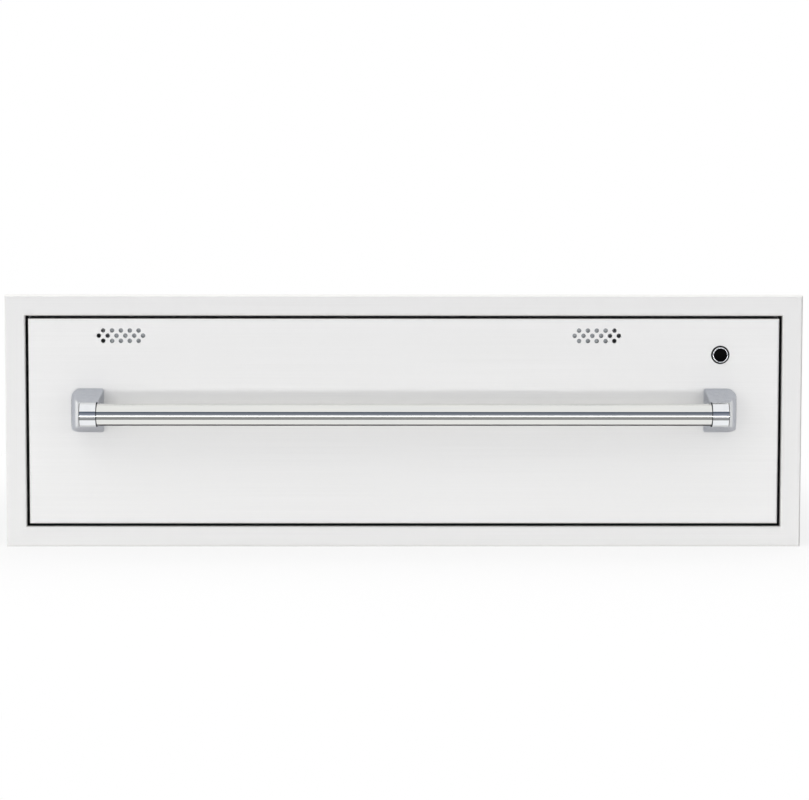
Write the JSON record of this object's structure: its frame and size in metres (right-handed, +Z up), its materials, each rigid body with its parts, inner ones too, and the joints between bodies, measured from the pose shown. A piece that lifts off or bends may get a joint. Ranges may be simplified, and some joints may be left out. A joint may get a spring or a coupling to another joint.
{
  "type": "built-in warming drawer",
  "caption": "Built-in stainless warming drawer: an insulated heated housing behind a trim frame, with a flush drawer front, bar handle, vents, push button and a bin on ball slides.",
  "frame": {"origin": "middle of the sill of the cut-out: the plane of the cabinet's face, at the underside of the housing", "axes": "+X to the user's right along the width, -Y towards the user, +Z up"},
  "size_m": [0.921, 0.656, 0.292],
  "materials": {
    "frame_steel": "fine brushed stainless",
    "front_steel": "fine brushed stainless",
    "galvanised_steel": "galvanised sheet",
    "liner_steel": "mill-finish stainless sheet",
    "bin_steel": "satin stainless",
    "mineral_wool": "fibre board",
    "silicone": "matte moulded silicone",
    "element_sheath": "dull oxidised sheath",
    "bracket_steel": "plain stainless",
    "ceramic": "unglazed ceramic",
    "brass_tab": "plated tab",
    "black_phenolic": "moulded",
    "white_thermoplastic": "moulded",
    "gland_nylon": "moulded",
    "zinc_plated_rail": "bright zinc plate",
    "cage_steel": "zinc plate",
    "ball_steel": "polished",
    "screw_steel": "zinc plate",
    "post_chrome": "polished",
    "bar_steel": "polished tube",
    "bezel_chrome": "polished",
    "nut_steel": "zinc plate",
    "washer_rubber": "moulded",
    "board_laminate": "coated laminate",
    "cap_plastic": "moulded"
  },
  "bodies": {
    "housing": {"face_frame": "frame_steel", "housing_shell": "galvanised_steel", "top_cover": "galvanised_steel", "rear_panel": "galvanised_steel", "cavity_liner": "liner_steel", "left_insulation": "mineral_wool", "right_insulation": "mineral_wool", "top_insulation": "mineral_wool", "floor_insulation": "mineral_wool", "rear_insulation": "mineral_wool", "drawer_seal": "silicone", "heat_reflector": "liner_steel", "heating_element": "element_sheath", "element_supports": "bracket_steel", "element_bushings": "ceramic", "element_terminals": "brass_tab", "temperature_probe": "bracket_steel", "thermal_cutout": "black_phenolic", "terminal_block": "white_thermoplastic", "cable_gland": "gland_nylon", "gland_locknut": "gland_nylon", "left_cabinet_rail": "zinc_plated_rail", "right_cabinet_rail": "zinc_plated_rail", "cabinet_rail_screws": "screw_steel", "cover_screws": "screw_steel", "rear_panel_screws": "screw_steel"},
    "drawer": {"front_skin": "front_steel", "front_backing": "liner_steel", "front_insulation": "mineral_wool", "vent_baffle": "liner_steel", "left_handle_post": "post_chrome", "right_handle_post": "post_chrome", "handle_bar": "bar_steel", "handle_screws": "screw_steel", "button_bezel": "bezel_chrome", "button_washer": "washer_rubber", "button_nut": "nut_steel", "control_box": "galvanised_steel", "control_board": "board_laminate", "drawer_bin": "bin_steel", "left_drawer_rail": "zinc_plated_rail", "right_drawer_rail": "zinc_plated_rail", "drawer_rail_rivets": "screw_steel", "bin_screws": "screw_steel"},
    "button": {"push_button": "cap_plastic"},
    "left_middle": {"left_middle_rail": "zinc_plated_rail"},
    "left_outer_cage": {"left_outer_cage": "cage_steel", "left_outer_balls": "ball_steel"},
    "left_inner_cage": {"left_inner_cage": "cage_steel", "left_inner_balls": "ball_steel"},
    "right_middle": {"right_middle_rail": "zinc_plated_rail"},
    "right_outer_cage": {"right_outer_cage": "cage_steel", "right_outer_balls": "ball_steel"},
    "right_inner_cage": {"right_inner_cage": "cage_steel", "right_inner_balls": "ball_steel"}
  },
  "joints": [
    {"name": "drawer_slide", "type": "slide", "parent": "housing", "child": "drawer", "axis": [0, -1, 0], "range_m": [0, 0.45]},
    {"name": "button_press", "type": "slide", "parent": "drawer", "child": "button", "axis": [0, 1, 0], "range_m": [0, 0.0025], "stiffness_N_per_m": 800},
    {"name": "left_middle_slide", "type": "slide", "parent": "housing", "child": "left_middle", "axis": [0, -1, 0], "range_m": [0, 0.225]},
    {"name": "left_outer_cage_slide", "type": "slide", "parent": "housing", "child": "left_outer_cage", "axis": [0, -1, 0], "range_m": [0, 0.1125]},
    {"name": "left_inner_cage_slide", "type": "slide", "parent": "housing", "child": "left_inner_cage", "axis": [0, -1, 0], "range_m": [0, 0.3375]},
    {"name": "right_middle_slide", "type": "slide", "parent": "housing", "child": "right_middle", "axis": [0, -1, 0], "range_m": [0, 0.225]},
    {"name": "right_outer_cage_slide", "type": "slide", "parent": "housing", "child": "right_outer_cage", "axis": [0, -1, 0], "range_m": [0, 0.1125]},
    {"name": "right_inner_cage_slide", "type": "slide", "parent": "housing", "child": "right_inner_cage", "axis": [0, -1, 0], "range_m": [0, 0.3375]}
  ],
  "couplings": [
    {"joint": "left_middle_slide", "follows": "drawer_slide", "ratio": 0.5},
    {"joint": "left_outer_cage_slide", "follows": "drawer_slide", "ratio": 0.25},
    {"joint": "left_inner_cage_slide", "follows": "drawer_slide", "ratio": 0.75},
    {"joint": "right_middle_slide", "follows": "drawer_slide", "ratio": 0.5},
    {"joint": "right_outer_cage_slide", "follows": "drawer_slide", "ratio": 0.25},
    {"joint": "right_inner_cage_slide", "follows": "drawer_slide", "ratio": 0.75}
  ]
}
